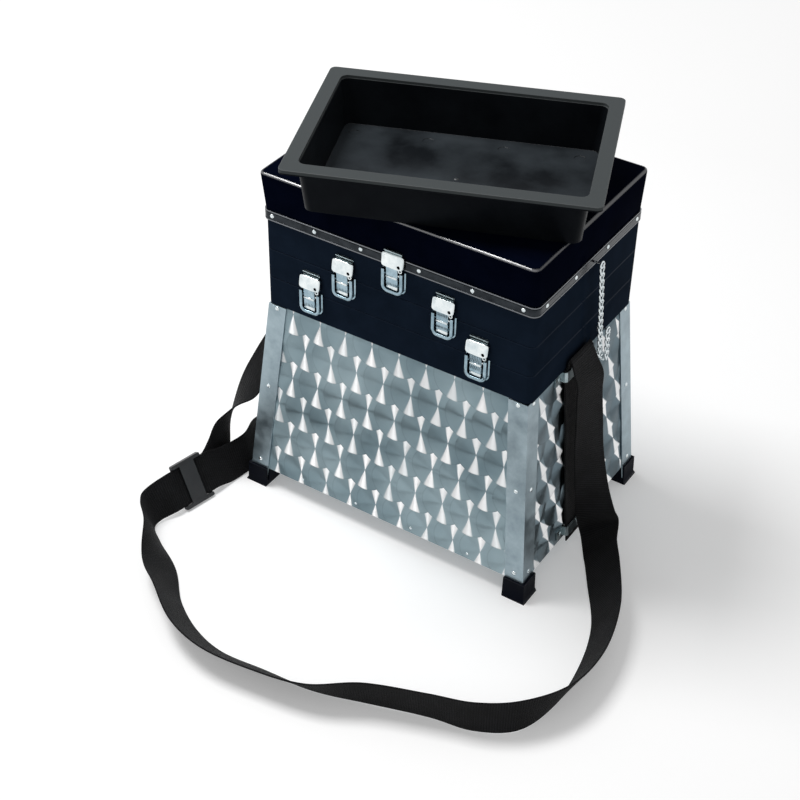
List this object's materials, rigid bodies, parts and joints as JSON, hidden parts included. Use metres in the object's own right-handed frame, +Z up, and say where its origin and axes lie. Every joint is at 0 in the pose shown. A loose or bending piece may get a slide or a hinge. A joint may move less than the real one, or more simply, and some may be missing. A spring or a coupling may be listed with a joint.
{
  "type": "fishing seat box",
  "caption": "Fishing seat box: tapered aluminium bin with plastic feet, hinged trays and lid with draw latches, lid chain, shoulder strap and a lift-off bait tray.",
  "frame": {"origin": "on the ground, under the middle of the bounding box of the box with its bait tray, without the strap", "axes": "+Z up, -Y the front with the latches, +X the side with the lid chain"},
  "size_m": [0.5915, 0.5898, 0.51],
  "materials": {
    "swirl_aluminium": "bright sheet with rows of overlapping engine-turned swirls",
    "angle_aluminium": "mill finish extrusion with bright edges",
    "floor_aluminium": "plain mill finish",
    "foot_plastic": "fine moulded grain",
    "stage_plastic": "glossy moulded black with a faint leathery grain on the lid",
    "band_aluminium": "dark anodised edging with two grooves",
    "hinge_steel": "zinc plated",
    "latch_steel": "bright nickel plated pressings",
    "chain_steel": "bright plated curb chain",
    "tray_plastic": "satin black with moulding marks",
    "slider_plastic": "moulded",
    "webbing": "ribbed woven webbing"
  },
  "bodies": {
    "base": {"panel_front": "swirl_aluminium", "panel_back": "swirl_aluminium", "panel_left": "swirl_aluminium", "panel_right": "swirl_aluminium", "corner_angle_fl": "angle_aluminium", "corner_angle_fr": "angle_aluminium", "corner_angle_bl": "angle_aluminium", "corner_angle_br": "angle_aluminium", "foot_fl": "foot_plastic", "foot_fr": "foot_plastic", "foot_bl": "foot_plastic", "foot_br": "foot_plastic", "bin_floor": "floor_aluminium", "base_collar": "stage_plastic", "hinge_lower_fixed_leaf": "hinge_steel", "latch_1_base": "latch_steel", "latch_5_base": "latch_steel", "chain_stud": "latch_steel", "strap_loop_upper_right": "latch_steel", "strap_loop_upper_left": "latch_steel", "strap_loop_lower_right": "latch_steel", "strap_loop_lower_left": "latch_steel", "strap_shoulder": "webbing", "strap_branch_lower": "webbing", "strap_branch_upper": "webbing", "strap_wall_right": "webbing", "strap_wall_left": "webbing", "strap_slider": "slider_plastic"},
    "tray_lower": {"tray_lower": "stage_plastic", "hinge_lower_moving_leaf": "hinge_steel", "hinge_middle_fixed_leaf": "hinge_steel", "latch_2_base": "latch_steel", "latch_4_base": "latch_steel", "latch_1_keeper": "latch_steel", "latch_5_keeper": "latch_steel"},
    "tray_upper": {"tray_upper": "stage_plastic", "hinge_middle_moving_leaf": "hinge_steel", "hinge_lid_fixed_leaf": "hinge_steel", "latch_3_base": "latch_steel", "latch_2_keeper": "latch_steel", "latch_4_keeper": "latch_steel"},
    "lid": {"lid_shell": "stage_plastic", "lid_band": "band_aluminium", "hinge_lid_moving_leaf": "hinge_steel", "latch_3_keeper": "latch_steel"},
    "bait_tray": {"bait_tray": "tray_plastic"},
    "chain_upper": {"chain_upper": "chain_steel"},
    "chain_middle": {"chain_middle": "chain_steel"},
    "chain_lower": {"chain_lower": "chain_steel"},
    "latch_lever_1": {"latch_1_lever": "latch_steel"},
    "latch_hook_1": {"latch_1_hook": "latch_steel"},
    "latch_lever_2": {"latch_2_lever": "latch_steel"},
    "latch_hook_2": {"latch_2_hook": "latch_steel"},
    "latch_lever_3": {"latch_3_lever": "latch_steel"},
    "latch_hook_3": {"latch_3_hook": "latch_steel"},
    "latch_lever_4": {"latch_4_lever": "latch_steel"},
    "latch_hook_4": {"latch_4_hook": "latch_steel"},
    "latch_lever_5": {"latch_5_lever": "latch_steel"},
    "latch_hook_5": {"latch_5_hook": "latch_steel"}
  },
  "joints": [
    {"name": "tray_lower_hinge", "type": "hinge", "parent": "base", "child": "tray_lower", "pos_m": [-0.00663, 0.1472, 0.3073], "axis": [-1, 0, 0], "range_deg": [0, 60]},
    {"name": "tray_upper_hinge", "type": "hinge", "parent": "tray_lower", "child": "tray_upper", "pos_m": [-0.00663, 0.1472, 0.346], "axis": [-1, 0, 0], "range_deg": [0, 60]},
    {"name": "lid_hinge", "type": "hinge", "parent": "tray_upper", "child": "lid", "pos_m": [-0.00663, 0.1487, 0.3867], "axis": [-1, 0, 0], "range_deg": [0, 51.5]},
    {"name": "latch_1_lever_hinge", "type": "hinge", "parent": "base", "child": "latch_lever_1", "pos_m": [-0.11913, -0.1041, 0.3063], "axis": [-1, 0, 0], "range_deg": [0, 90]},
    {"name": "latch_1_hook_hinge", "type": "hinge", "parent": "latch_lever_1", "child": "latch_hook_1", "pos_m": [-0.11913, -0.103, 0.2888], "axis": [-1, 0, 0], "range_deg": [-68, 0]},
    {"name": "latch_2_lever_hinge", "type": "hinge", "parent": "tray_lower", "child": "latch_lever_2", "pos_m": [-0.07313, -0.1041, 0.345], "axis": [-1, 0, 0], "range_deg": [0, 90]},
    {"name": "latch_2_hook_hinge", "type": "hinge", "parent": "latch_lever_2", "child": "latch_hook_2", "pos_m": [-0.07313, -0.103, 0.3275], "axis": [-1, 0, 0], "range_deg": [-68, 0]},
    {"name": "latch_3_lever_hinge", "type": "hinge", "parent": "tray_upper", "child": "latch_lever_3", "pos_m": [-0.00663, -0.1041, 0.378], "axis": [-1, 0, 0], "range_deg": [0, 90]},
    {"name": "latch_3_hook_hinge", "type": "hinge", "parent": "latch_lever_3", "child": "latch_hook_3", "pos_m": [-0.00663, -0.103, 0.3605], "axis": [-1, 0, 0], "range_deg": [-68, 0]},
    {"name": "latch_4_lever_hinge", "type": "hinge", "parent": "tray_lower", "child": "latch_lever_4", "pos_m": [0.05937, -0.1041, 0.345], "axis": [-1, 0, 0], "range_deg": [0, 90]},
    {"name": "latch_4_hook_hinge", "type": "hinge", "parent": "latch_lever_4", "child": "latch_hook_4", "pos_m": [0.05937, -0.103, 0.3275], "axis": [-1, 0, 0], "range_deg": [-68, 0]},
    {"name": "latch_5_lever_hinge", "type": "hinge", "parent": "base", "child": "latch_lever_5", "pos_m": [0.10387, -0.1041, 0.3063], "axis": [-1, 0, 0], "range_deg": [0, 90]},
    {"name": "latch_5_hook_hinge", "type": "hinge", "parent": "latch_lever_5", "child": "latch_hook_5", "pos_m": [0.10387, -0.103, 0.2888], "axis": [-1, 0, 0], "range_deg": [-68, 0]},
    {"name": "chain_upper_hinge", "type": "hinge", "parent": "lid", "child": "chain_upper", "pos_m": [0.18317, 0.0227, 0.393], "axis": [1, 0, 0], "range_deg": [0, 38.27]},
    {"name": "chain_lower_hinge", "type": "hinge", "parent": "base", "child": "chain_lower", "pos_m": [0.18317, 0.0577, 0.2845], "axis": [1, 0, 0], "range_deg": [0, 168.67]},
    {"name": "chain_middle_hinge", "type": "hinge", "parent": "chain_lower", "child": "chain_middle", "pos_m": [0.17927, 0.06267, 0.24091], "axis": [-1, 0, 0], "range_deg": [0, 217.82]},
    {"name": "bait_tray_lift", "type": "slide", "parent": "lid", "child": "bait_tray", "axis": [0, 0, 1], "range_m": [0, 0.1]}
  ],
  "couplings": [
    {"joint": "latch_1_hook_hinge", "follows": "latch_1_lever_hinge", "ratio": -0.7555},
    {"joint": "latch_2_hook_hinge", "follows": "latch_2_lever_hinge", "ratio": -0.7555},
    {"joint": "latch_3_hook_hinge", "follows": "latch_3_lever_hinge", "ratio": -0.7555},
    {"joint": "latch_4_hook_hinge", "follows": "latch_4_lever_hinge", "ratio": -0.7555},
    {"joint": "latch_5_hook_hinge", "follows": "latch_5_lever_hinge", "ratio": -0.7555},
    {"joint": "chain_upper_hinge", "follows": "lid_hinge", "ratio": 0.74206},
    {"joint": "chain_lower_hinge", "follows": "lid_hinge", "ratio": 3.2741},
    {"joint": "chain_middle_hinge", "follows": "lid_hinge", "ratio": 4.2285}
  ]
}
